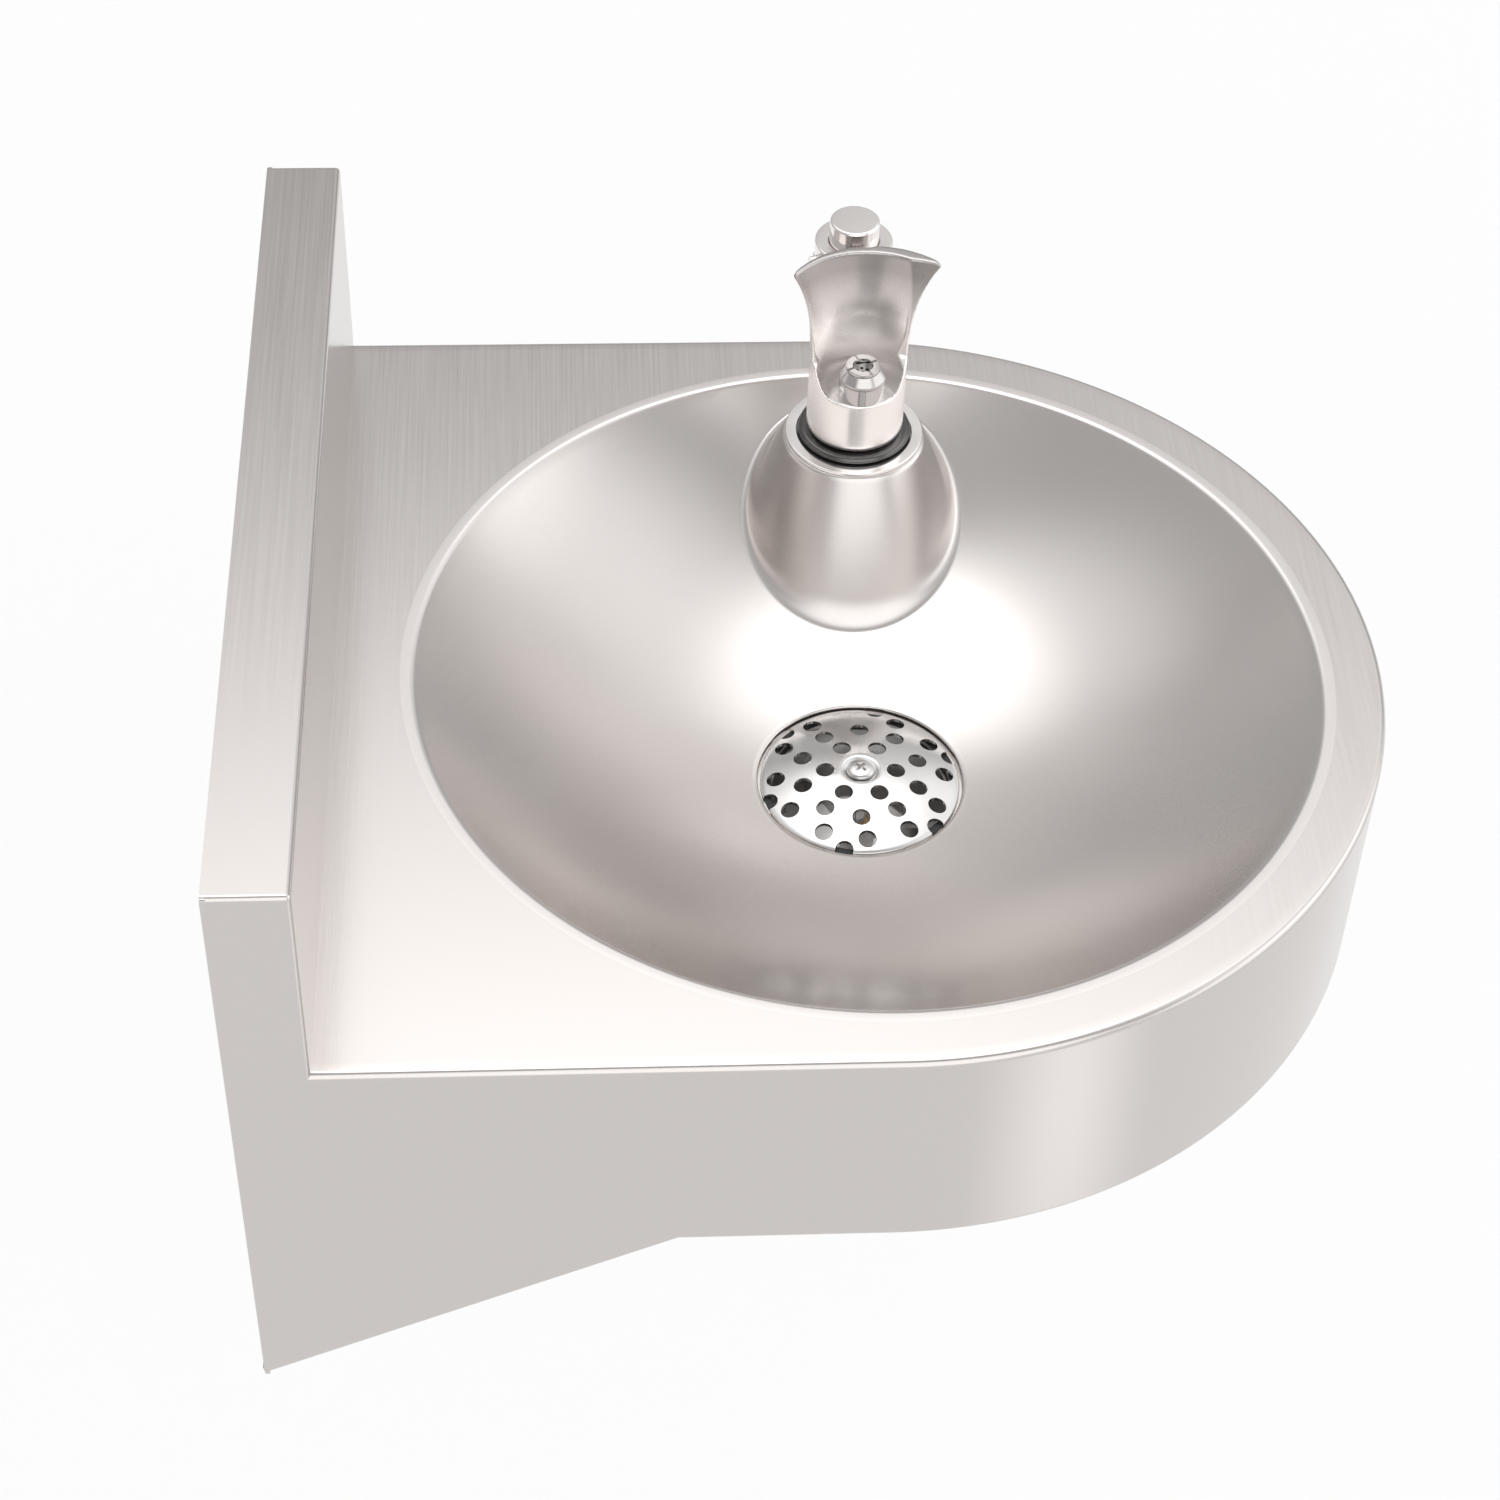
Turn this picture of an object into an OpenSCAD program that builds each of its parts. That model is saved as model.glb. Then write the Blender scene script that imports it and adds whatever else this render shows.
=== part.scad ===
// Wall-hung drinking fountain: a folded steel deck with a spun bowl, a push-button
// bubbler with a mouth guard, a domed strainer waste and a wall bracket.
// Origin: on the wall, on the centreline, at deck level. The user stands at -Y, the
// wall is the plane y = 0, and the bubbler is on the user's right, towards +X.

/* [Deck and panels] */
// Width of the fountain along the wall
body_w = 330; // [320:1:340]
// Distance from the wall to the centre of the round front
front_centre = 193.7; // [190:1:198]
// Thickness of the folded sheet
sheet_t = 1.5; // [1.2:0.1:1.5]
// Depth of the upstand, front to back
upstand_t = 24.3; // [22:0.5:28]
// Height of the upstand above the deck
upstand_h = 75.5; // [74:0.5:80]
// Height of the round front apron
apron_h = 81.4; // [78:0.5:86]
// Depth of the side panels below the deck, at the wall
side_h = 147.3; // [140:1:155]
// Distance from the wall to the foot of the sloping side edge
slope_y = 128.8; // [120:1:135]

/* [Bowl] */
// Radius of the bowl at its rim
bowl_r = 145; // [143:0.5:146]
// Depth of the bowl
bowl_depth = 56.5; // [55:0.5:58]
// Distance from the wall to the centre of the bowl
bowl_y = 194; // [192:0.5:196]
// Radius of the domed strainer
strainer_r = 33; // [32:0.5:34]
// Rise of the strainer's dome
strainer_rise = 5.5; // [4:0.5:6]
// Radius of each strainer hole
strainer_hole_r = 3.05; // [2.5:0.05:3.1]

/* [Pedestal and bubbler] */
// Distance of the bubbler from the centreline
bubbler_x = 112; // [111:0.5:113]
// Distance of the bubbler from the wall
bubbler_y = 197; // [195:0.5:199]
// Angle by which the mouth guard turns towards the user
bubbler_turn = 6; // [0:1:10]
// Radius of the bubbler's body
body_r = 16.5; // [16:0.1:17]
// Height of the top of the mouth guard above the deck
guard_top = 76; // [75:0.5:78]
// Height of the top of the push button above the deck
button_top = 77.5; // [77:0.1:78]
// Travel of the push button
button_travel = 4; // [3:0.5:4]

/* [Fixings and pipes] */
// Spacing of the wall-fixing holes along the wall
fix_x = 300; // [295:1:302]
// Vertical spacing of the wall-fixing holes
fix_z = 100; // [96:1:104]
// Radius of each wall-fixing hole
fix_r = 3.5; // [3:0.25:3.5]
// Outer radius of the G1/2 inlet thread
inlet_r = 10.48; // [10.48:0.01:10.5]
// Outer radius of the G1 1/4 outlet thread
outlet_r = 20.95; // [20.9:0.01:21]

/* [Hidden] */
$fn = 96;
tiny = 0.01;
steel = [0.78, 0.77, 0.76];
chrome = [0.86, 0.86, 0.87];
rubber = [0.08, 0.08, 0.08];
brass = [0.80, 0.66, 0.36];
half_w = body_w / 2;

// Bowl: part of a sphere whose rim is level with the deck
sphere_r = (bowl_r * bowl_r + bowl_depth * bowl_depth) / (2 * bowl_depth);
sphere_z = sphere_r - bowl_depth;
rim_flange = 4;
function bowl_z(r) = sphere_z - sqrt(sphere_r * sphere_r - r * r);

// Pedestal: a cone that rises out of the bowl's wall to carry the bubbler
ped_top = 1.2;
ped_top_r = 24;
ped_slope = 0.47;
ped_low = -60;
ped_hole_r = 11;
function ped_r(z) = ped_top_r + (ped_top - z) * ped_slope;

// Waste
drain_r = 30;
seat_drop = 2.4;
seal_t = 0.6;
strainer_t = 1.2;
seat_floor = bowl_z(strainer_r + 1) - seat_drop;
strainer_edge_z = seat_floor + seal_t + strainer_t;
dome_r = (strainer_r * strainer_r + strainer_rise * strainer_rise) / (2 * strainer_rise);
waste_flange_r = 36;
waste_top = seat_floor - sheet_t - 2;
cup_depth = 22;
cup_floor = waste_top - cup_depth;
tail_len = 32;
boss_r = 6;

// Bubbler levels above the deck
base_z = ped_top;
gasket_t = 1;
body_foot = 5.2;
pocket_floor = guard_top - 50;
shoulder_z = 62;
valve_x = 18;
housing_r = 13.5;
housing_low = 30;
bonnet_r = 13;
bonnet_spigot_r = 10.5;
bonnet_low = 52;
bonnet_top = 69.5;
spring_seat = 56;
button_r = 8.3;
button_skirt = 60;
button_ceiling = 70;
stem_r = 2.5;
run_gap = 0.05;
seat_top = 46;
seat_low = 43;
piston_low = 38;
piston_top = 41.6;
piston_r = 6.2;
chamber_low = piston_low - button_travel - 1.5;
chamber_r = 7.5;
nozzle_x = -8.5;
nozzle_r = 7.8;
crown_neck_r = 4.2;
crown_bore_r = 3.4;
shank_low = -62;
neck_z = -12;

module ring(r_out, r_in, z0, z1) {
    translate([0, 0, z0]) difference() {
        cylinder(r = r_out, h = z1 - z0);
        translate([0, 0, -1]) cylinder(r = r_in, h = z1 - z0 + 2);
    }
}

module rod(r, z0, z1) { translate([0, 0, z0]) cylinder(r = r, h = z1 - z0); }

// A straight drilling between two points
module drilling(from, to, r) {
    run = to - from;
    length = norm(run);
    translate(from)
        rotate([0, acos(run[2] / length), atan2(run[1], run[0])])
            cylinder(r = r, h = length);
}

module at_bowl() { translate([0, -bowl_y, 0]) children(); }
module at_bubbler() {
    translate([bubbler_x, -bubbler_y, 0]) rotate([0, 0, bubbler_turn]) children();
}
module at_valve() { at_bubbler() translate([valve_x, 0, 0]) children(); }
module at_nozzle() { at_bubbler() translate([nozzle_x, 0, 0]) children(); }

// ---------------------------------------------------------------- deck and panels
// Outline of the deck seen from above, drawn in by a margin
module plan(margin) {
    translate([-half_w + margin, -front_centre])
        square([body_w - 2 * margin, front_centre - margin]);
    translate([0, -front_centre]) circle(r = half_w - margin, $fn = 180);
}

// Lower edge of the panels in the side view, y then z
lower_edge = [[5, -side_h - 5 * (side_h - apron_h) / slope_y], [-slope_y, -apron_h],
    [-400, -apron_h]];

// Everything below the lower edge
module below_slope() {
    rotate([90, 0, 90]) translate([0, 0, -half_w - 5]) linear_extrude(body_w + 10)
        polygon(concat(lower_edge, [[-400, -300], [5, -300]]));
}

// Everything that lies more than one sheet above the lower edge
module above_hem() {
    rotate([90, 0, 90]) translate([0, 0, -half_w - 5]) linear_extrude(body_w + 10)
        polygon(concat(lower_edge, [[-400, 50], [5, 50]]));
}

return_w = 25;
hook_drop = 16;

// Side panels and round front in one band, with a hem along the lower edge and a
// flange at each end that screws to the wall
module apron_band() {
    hem = 12;
    color(steel) difference() {
        union() {
            difference() {
                translate([0, 0, -side_h]) linear_extrude(side_h - sheet_t) difference() {
                    plan(0);
                    plan(sheet_t);
                }
                below_slope();
                // open at the wall, apart from the two flanges
                translate([-half_w + return_w, -sheet_t - tiny, -side_h - 1])
                    cube([body_w - 2 * return_w, sheet_t + 1, side_h + 2]);
            }
            difference() {
                translate([0, 0, -side_h]) linear_extrude(side_h - 20) difference() {
                    plan(sheet_t / 2);
                    plan(hem);
                }
                below_slope();
                translate([0, 0, sheet_t]) above_hem();
                translate([-half_w + return_w, -hem - 1, -side_h - 1])
                    cube([body_w - 2 * return_w, hem + 2, side_h]);
            }
        }
        for (side = [-1, 1])
            translate([side * fix_x / 2, 1, -fix_z / 2]) rotate([90, 0, 0])
                cylinder(r = fix_r, h = sheet_t + 2);
    }
}

module deck_plate() {
    color(steel) difference() {
        translate([0, 0, -sheet_t]) linear_extrude(sheet_t) difference() {
            plan(0);
            translate([-half_w - 1, -upstand_t]) square([body_w + 2, upstand_t + 1]);
        }
        at_bowl() translate([0, 0, -5]) cylinder(r = bowl_r + rim_flange, h = 10);
    }
}

// Upstand: front, top and two ends, with a hook flange behind the bracket's lip
module upstand_cover() {
    color(steel) {
        difference() {
            translate([-half_w, -upstand_t, -sheet_t])
                cube([body_w, upstand_t, upstand_h + sheet_t]);
            translate([-half_w + sheet_t, -upstand_t + sheet_t, -sheet_t - 1])
                cube([body_w - 2 * sheet_t, upstand_t, upstand_h + 1]);
        }
        translate([-half_w + sheet_t / 2, -sheet_t, upstand_h - hook_drop])
            cube([body_w - sheet_t, sheet_t, hook_drop - sheet_t / 2]);
    }
}

module hanger_bracket() {
    plate_t = 2.5;
    half = half_w - 5;
    step = 2.3;
    lip_low = upstand_h - 18;
    color(steel) difference() {
        union() {
            translate([-half, -plate_t, 34]) cube([2 * half, plate_t, lip_low - 34]);
            translate([-half, -step - plate_t, lip_low - plate_t])
                cube([2 * half, step + plate_t, plate_t]);
            translate([-half, -step - plate_t, lip_low - plate_t])
                cube([2 * half, plate_t, plate_t + 12]);
        }
        for (side = [-1, 1])
            translate([side * fix_x / 2, 1, fix_z / 2]) rotate([90, 0, 0])
                cylinder(r = fix_r, h = plate_t + 2);
    }
}

// ---------------------------------------------------------------- bowl and waste
module cone_solid(inset) {
    translate([0, 0, ped_low])
        cylinder(r1 = ped_r(ped_low) - inset, r2 = ped_top_r - inset, h = ped_top - ped_low);
}

module ball(extra) {
    at_bowl() translate([0, 0, sphere_z]) sphere(r = sphere_r + extra, $fn = 180);
}

module bowl() {
    weld_gap = 0.02;
    color(steel) difference() {
        at_bowl() union() {
            intersection() {
                translate([0, 0, sphere_z]) sphere(r = sphere_r + sheet_t, $fn = 180);
                rod(bowl_r + 1, -100, 0);
            }
            rod(bowl_r + rim_flange, -sheet_t, 0);
            rod(waste_flange_r, seat_floor - sheet_t, bowl_z(waste_flange_r));
        }
        ball(0);
        at_bowl() rod(strainer_r + 1, seat_floor, 0);
        at_bowl() rod(drain_r, -100, 0);
        at_bubbler() cone_solid(-weld_gap);
    }
}

// Pedestal wall and the seat on its top
module pedestal() {
    color(steel) difference() {
        intersection() {
            at_bubbler() cone_solid(0);
            union() {
                ball(sheet_t);
                at_bowl() rod(bowl_r + 1, -sheet_t, 50);
            }
        }
        at_bubbler() translate([0, 0, -sheet_t]) cone_solid(sheet_t);
        at_bubbler() rod(ped_hole_r, -20, 20);
    }
}

module strainer_holes() {
    for (a = [0:5]) rotate(28 + 60 * a) translate([11.7, 0]) circle(r = strainer_hole_r);
    for (a = [0:9]) rotate(-3 + 36 * a) translate([20, 0]) circle(r = strainer_hole_r);
    for (a = [1:11]) rotate(1 + 30 * a) translate([28, 0]) circle(r = strainer_hole_r);
    for (a = [0:5]) rotate(47 + 60 * a) translate([32.2, 0]) circle(r = strainer_hole_r);
}

module strainer_dome() {
    color(chrome) at_bowl() difference() {
        intersection() {
            translate([0, 0, strainer_edge_z + strainer_rise - dome_r]) difference() {
                sphere(r = dome_r, $fn = 180);
                sphere(r = dome_r - strainer_t, $fn = 180);
            }
            rod(strainer_r, strainer_edge_z - strainer_t, 0);
        }
        translate([0, 0, -100]) linear_extrude(100) strainer_holes();
        rod(3, -100, 0);
    }
}

module strainer_screw() {
    head_z = strainer_edge_z + strainer_rise;
    color(chrome) at_bowl() difference() {
        union() {
            rod(2.9, cup_floor + 1, head_z + 0.5);
            translate([0, 0, head_z]) cylinder(r1 = 4.9, r2 = 3.8, h = 1.2);
        }
        for (a = [45, 135]) rotate(a)
            translate([-2.2, -0.5, head_z + 0.1]) cube([4.4, 1, 2]);
    }
}

module strainer_seal() {
    color(rubber) at_bowl() ring(strainer_r - 0.4, drain_r + 0.4, seat_floor,
        seat_floor + seal_t);
}

module waste_gasket() {
    color(rubber) at_bowl() ring(waste_flange_r, drain_r, waste_top,
        seat_floor - sheet_t);
}

module waste_body() {
    wall = 2.2;
    color(steel) at_bowl() difference() {
        union() {
            ring(waste_flange_r, drain_r - 1, waste_top - 3, waste_top);
            ring(drain_r + 1.2, drain_r - 1, cup_floor, waste_top);
            ring(drain_r + 1.2, outlet_r - wall, cup_floor - wall, cup_floor + tiny);
            ring(outlet_r, outlet_r - wall, cup_floor - wall - tail_len, cup_floor);
        }
        rod(outlet_r - wall, cup_floor - wall - 1, cup_floor + 1);
    }
}

// Three-armed bridge that rests on the cup's floor and carries the screw's insert
module waste_bridge() {
    color(steel) at_bowl() difference() {
        union() {
            rod(boss_r, cup_floor - 2, cup_floor + 8);
            for (a = [0:2]) rotate(30 + 120 * a)
                translate([0, -1.25, cup_floor]) cube([drain_r - 1.3, 2.5, 5]);
        }
        rod(4.2, cup_floor - 5, cup_floor + 10);
    }
}

module waste_insert() {
    color(brass) at_bowl() ring(4.2, 2.9, cup_floor - 2, cup_floor + 8);
}

// ---------------------------------------------------------------- bubbler
module escutcheon_ring() {
    color(chrome) at_bubbler() ring(23.5, 19.6, base_z, base_z + 1.4);
}

module base_gasket() {
    color(rubber) at_bubbler() ring(19.4, inlet_r + 0.3, base_z, base_z + gasket_t);
}

// Polished base ring with a rounded outer edge
module base_ring() {
    low = base_z + gasket_t;
    high = body_foot;
    edge = (high - low) / 2;
    color(chrome) at_bubbler() rotate_extrude() {
        translate([inlet_r + 0.1, low]) square([19.2 - edge - inlet_r - 0.1, high - low]);
        intersection() {
            translate([19.2 - edge, low + edge]) circle(r = edge, $fn = 48);
            translate([19.2 - edge - 0.1, low]) square([edge + 1, high - low]);
        }
    }
}

// Outline radius of the flared mouth guard at each height
function guard_flare(t) = 0.6 * t + 8.9 * pow(t, 2.6);
guard_rise = 40;
guard_back = 6;
guard_back_r = 31.3;
guard_front = -1;
guard_front_r = 49.4;
mouth_low = 26.5;
mouth_angle = 35;
pocket_x = -14;
pocket_shift = 0.6;
trough_top_r = 29.2;
trough_top_x = -27;
trough_top_shift = 2.3;
guard_steps = 10;
guard_profile = concat([[0, guard_top - guard_rise]],
    [for (i = [0:guard_steps]) let (t = i / guard_steps)
        [body_r + guard_flare(t), guard_top - guard_rise * (1 - t)]],
    [[0, guard_top]]);

// Pocket behind the nozzle
pocket_r = 19;
pocket_wide_z = pocket_floor + 22;

// Round pocket that opens upwards into a wider trough in the guard's face
module trough() {
    hull() {
        for (a = [0:15:90])
            translate([pocket_x, pocket_shift, pocket_wide_z - 22 * cos(a)])
                cylinder(r = pocket_r - 9 * (1 - sin(a)), h = tiny, $fn = 64);
        translate([trough_top_x, trough_top_shift, guard_top])
            cylinder(r = trough_top_r, h = 2, $fn = 64);
    }
}

// Everything in front of the guard's face and above its sloping lower lip
module mouth() {
    difference() {
        translate([guard_front - guard_front_r, 0, pocket_floor - 2])
            cylinder(r = guard_front_r, h = guard_top);
        translate([-body_r, 0, mouth_low]) rotate([0, -mouth_angle, 0])
            translate([-120, -60, -100]) cube([240, 120, 100]);
    }
}

module guard_blade() {
    intersection() {
        rotate_extrude() polygon(guard_profile);
        translate([guard_back - guard_back_r, 0, guard_top - guard_rise - 5])
            cylinder(r = guard_back_r, h = guard_rise + 10);
    }
}

module bubbler_body() {
    color(chrome) at_bubbler() difference() {
        union() {
            rod(body_r, body_foot, shoulder_z);
            guard_blade();
            translate([valve_x, 0, 0]) rod(housing_r, housing_low, shoulder_z);
            hull() {
                rod(housing_r, 18, shoulder_z, $fn = 48);
                translate([valve_x - 2, 0, 0]) rod(housing_r - 2, housing_low + 2, shoulder_z,
                    $fn = 48);
            }
        }
        trough();
        mouth();
        // bonnet bore, upper chamber, seat bore and lower chamber
        translate([valve_x, 0, 0]) {
            rod(bonnet_spigot_r, bonnet_low, shoulder_z + 1);
            rod(chamber_r, seat_low, bonnet_low + tiny);
            rod(chamber_r, chamber_low, seat_low + tiny);
        }
        // room for the collar and for the nozzle
        translate([valve_x, 0, 0]) rod(bonnet_r + 0.1, shoulder_z, guard_top + 1);
        translate([nozzle_x, 0, 0]) rod(nozzle_r + 0.05, pocket_floor, pocket_floor + 5);
        // shank socket, inlet drilling and outlet drillings
        rod(inlet_r + 0.03, body_foot - 1, 14);
        drilling([0, 0, 12], [valve_x - 2, 0, 35], 3);
        drilling([7.5, 8.5, 18], [7.5, 8.5, 50], 1.8);
        drilling([7.5, 8.5, 49], [valve_x, 0, 49], 1.8);
        drilling([7.5, 8.5, 19], [nozzle_x, 0, 19], 1.8);
        translate([nozzle_x, 0, 0]) rod(4, 17, 30);
    }
}

module threaded_shank() {
    color(chrome) at_bubbler() difference() {
        union() {
            rod(inlet_r, shank_low, neck_z - 0.5);
            rod(inlet_r - 0.8, neck_z - 1, neck_z + 0.5);
            rod(inlet_r, neck_z + 0.5, 12);
        }
        rod(6, shank_low - 1, 13);
    }
}

module shank_oring() { color(rubber) at_bubbler() ring(inlet_r, 6.2, 12, 14); }

module back_gasket() {
    color(rubber) at_bubbler() ring(17, inlet_r + 0.1, ped_top - sheet_t - 3,
        ped_top - sheet_t);
}

module back_washer() {
    top = ped_top - sheet_t - 3;
    color(steel) at_bubbler() ring(16.5, inlet_r + 0.1, top - 1.5, top);
}

module back_nut() {
    top = ped_top - sheet_t - 4.5;
    across_flats = 27;
    color(brass) at_bubbler() difference() {
        translate([0, 0, top - 6.5]) cylinder(r = across_flats / sqrt(3), h = 6.5, $fn = 6);
        rod(inlet_r + 0.03, top - 10, top + 1);
    }
}

module nozzle_body() {
    low = pocket_floor;
    color(chrome) at_nozzle() difference() {
        union() {
            rod(3.95, 20, low + tiny);
            rod(nozzle_r, low, 33.5);
            translate([0, 0, 33.5]) cylinder(r1 = nozzle_r, r2 = 5.9, h = 2.8);
        }
        rod(2, 15, 40);
        rod(crown_neck_r, 30, 40);
        for (side = [-1, 1]) rotate(45 * side + 180)
            translate([nozzle_r - 0.7, -10, low + 1]) cube([5, 20, 5]);
    }
}

module nozzle_crown() {
    color(chrome) at_nozzle() difference() {
        union() {
            ring(crown_neck_r, crown_bore_r, 31, 36.3);
            ring(5.7, crown_bore_r, 36.3, 37.6);
        }
        for (a = [0, 90]) rotate(a + 20) translate([-6, -0.5, 36.9]) cube([12, 1, 2]);
    }
}

// Small disc with seven holes, pressed into the crown
module nozzle_screen() {
    color(steel) at_nozzle() difference() {
        rod(crown_bore_r, 34, 34.6);
        rod(0.6, 33, 36);
        for (a = [0:5]) rotate(60 * a) translate([2, 0, 0]) rod(0.6, 33, 36);
    }
}

module nozzle_oring() { color(rubber) at_nozzle() ring(crown_neck_r, 2.6, 30, 31); }

module valve_bonnet() {
    color(chrome) at_valve() difference() {
        union() {
            rod(bonnet_spigot_r, bonnet_low, shoulder_z);
            rod(bonnet_r, shoulder_z, bonnet_top);
        }
        rod(button_r + run_gap, spring_seat, bonnet_top + 1);
        rod(stem_r + run_gap, bonnet_low - 1, spring_seat + 1);
        // gland groove and the spanner notch in the collar's front
        rod(4.2, bonnet_low - 1, bonnet_low + 2.4);
        translate([-bonnet_r - 1, -1.5, bonnet_top - 3]) cube([3, 3, 2]);
    }
}

module bonnet_lock_screw() {
    color(chrome) at_valve() rotate([0, 0, 104])
        translate([bonnet_r + tiny, 0, 64.4]) rotate([0, 90, 0]) cylinder(r = 1.9, h = 2.6);
}

module bonnet_oring() {
    color(rubber) at_valve() ring(chamber_r, 4.4, bonnet_low - 1.5, bonnet_low);
}

module push_button() {
    color(chrome) at_valve() difference() {
        rod(button_r, button_skirt, button_top);
        rod(6.8, button_skirt - 1, button_ceiling);
    }
}

module valve_stem() { color(steel) at_valve() rod(stem_r, piston_low, button_ceiling); }

module stem_oring() {
    color(rubber) at_valve() ring(4.1, stem_r + run_gap, bonnet_low + 0.1, bonnet_low + 2.3);
}

// Coil spring with flat turns at both ends
spring_wire = 0.55;
spring_mid_r = 5.4;
spring_turns = 5;
spring_steps = 20;
spring_sides = 8;
function spring_z(t) = spring_seat + spring_wire
    + (button_ceiling - spring_seat - 2 * spring_wire) * min(1, max(0, (t - 0.6) / (spring_turns - 1.2)));
function spring_ring(t) = [for (k = [0:spring_sides - 1])
    let (a = 360 * k / spring_sides, r = spring_mid_r + spring_wire * cos(a))
    [r * cos(360 * t), r * sin(360 * t), spring_z(t) + spring_wire * sin(a)]];

module return_spring() {
    rings = (spring_turns) * spring_steps;
    points = [for (i = [0:rings]) each spring_ring(i / spring_steps)];
    sides = [for (i = [0:rings - 1], k = [0:spring_sides - 1])
        let (a = i * spring_sides + k, b = i * spring_sides + (k + 1) % spring_sides)
        [a, b, b + spring_sides, a + spring_sides]];
    caps = [[for (k = [spring_sides - 1:-1:0]) k],
        [for (k = [0:spring_sides - 1]) rings * spring_sides + k]];
    color(steel) at_valve() polyhedron(points, concat(sides, caps));
}

module valve_seat() { color(brass) at_valve() ring(chamber_r, 4, seat_low, seat_top); }

module valve_piston() {
    color(brass) at_valve() difference() {
        rod(piston_r, piston_low, piston_top);
        rod(stem_r, piston_low - 1, piston_top + 1);
    }
}

module seat_washer() {
    color(rubber) at_valve() ring(5.8, stem_r, piston_top, seat_low);
}

deck_plate();
upstand_cover();
apron_band();
bowl();
pedestal();
hanger_bracket();
strainer_dome();
strainer_screw();
strainer_seal();
waste_gasket();
waste_body();
waste_bridge();
waste_insert();
escutcheon_ring();
base_gasket();
base_ring();
bubbler_body();
threaded_shank();
shank_oring();
back_gasket();
back_washer();
back_nut();
nozzle_body();
nozzle_crown();
nozzle_screen();
nozzle_oring();
valve_bonnet();
bonnet_lock_screw();
bonnet_oring();
push_button();
valve_stem();
stem_oring();
return_spring();
valve_seat();
valve_piston();
seat_washer();
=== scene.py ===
import math

import bmesh
import bpy
from mathutils import Matrix, Vector


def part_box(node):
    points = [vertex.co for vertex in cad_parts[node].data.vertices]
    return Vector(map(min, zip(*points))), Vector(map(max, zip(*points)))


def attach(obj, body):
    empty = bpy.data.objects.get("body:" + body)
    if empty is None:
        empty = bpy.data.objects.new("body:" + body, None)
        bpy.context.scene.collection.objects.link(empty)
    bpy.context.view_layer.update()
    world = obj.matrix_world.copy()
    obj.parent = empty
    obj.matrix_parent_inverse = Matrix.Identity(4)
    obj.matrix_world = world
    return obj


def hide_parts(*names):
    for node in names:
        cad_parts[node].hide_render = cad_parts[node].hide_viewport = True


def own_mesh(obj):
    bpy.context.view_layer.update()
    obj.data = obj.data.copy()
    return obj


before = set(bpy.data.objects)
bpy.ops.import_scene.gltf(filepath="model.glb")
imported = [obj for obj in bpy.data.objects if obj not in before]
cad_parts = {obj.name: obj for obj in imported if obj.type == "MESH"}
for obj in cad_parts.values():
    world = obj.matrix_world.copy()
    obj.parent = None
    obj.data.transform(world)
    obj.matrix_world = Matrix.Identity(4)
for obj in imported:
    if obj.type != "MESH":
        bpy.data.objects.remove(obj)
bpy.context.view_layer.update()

MM = 0.001
TURN = 2 * math.pi


# ---------------------------------------------------------------- camera
def studio_camera():
    """The camera, from the perspective solve of the object's straight edges and circles."""
    yaw, pitch, roll = -0.0720, 0.7939, 0.0355
    stands_at = (-0.75658, -0.10261, 0.73224)
    ahead = Vector((
        math.cos(pitch) * math.cos(yaw), math.cos(pitch) * math.sin(yaw), -math.sin(pitch)
    ))
    right = ahead.cross(Vector((0, 0, 1))).normalized()
    up = right.cross(ahead)
    level = Matrix((right, up, -ahead)).transposed().to_4x4()
    data = bpy.data.cameras.new("studio_camera")
    data.lens = 79.306
    data.sensor_width = 36
    data.clip_start, data.clip_end = 0.01, 50
    camera = bpy.data.objects.new("studio_camera", data)
    camera.matrix_world = (
        Matrix.Translation(stands_at)
        @ level @ Matrix.Rotation(roll, 4, "Z")
    )
    bpy.context.scene.collection.objects.link(camera)
    bpy.context.scene.camera = camera


studio_camera()
bpy.context.scene.view_settings.view_transform = "Standard"


# ---------------------------------------------------------------- places from the CAD
def centre(node):
    """Middle of a CAD node's box, in mm."""
    low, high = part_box(node)
    return [(a + b) / 2 / MM for a, b in zip(low, high)]


BOWL_AT = Matrix.Translation((0, centre("strainer_dome")[1], 0))
stem_x, stem_y, _ = centre("base_ring")
valve_at_x, valve_at_y, _ = centre("push_button")
turn = math.atan2(valve_at_y - stem_y, valve_at_x - stem_x)
valve_x = math.hypot(valve_at_y - stem_y, valve_at_x - stem_x)
BUBBLER_AT = Matrix.Translation((stem_x, stem_y, 0)) @ Matrix.Rotation(turn, 4, "Z")
VALVE_AT = BUBBLER_AT @ Matrix.Translation((valve_x, 0, 0))
nozzle_x = -8.5
NOZZLE_AT = BUBBLER_AT @ Matrix.Translation((nozzle_x, 0, 0))
HERE = Matrix.Identity(4)


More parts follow.
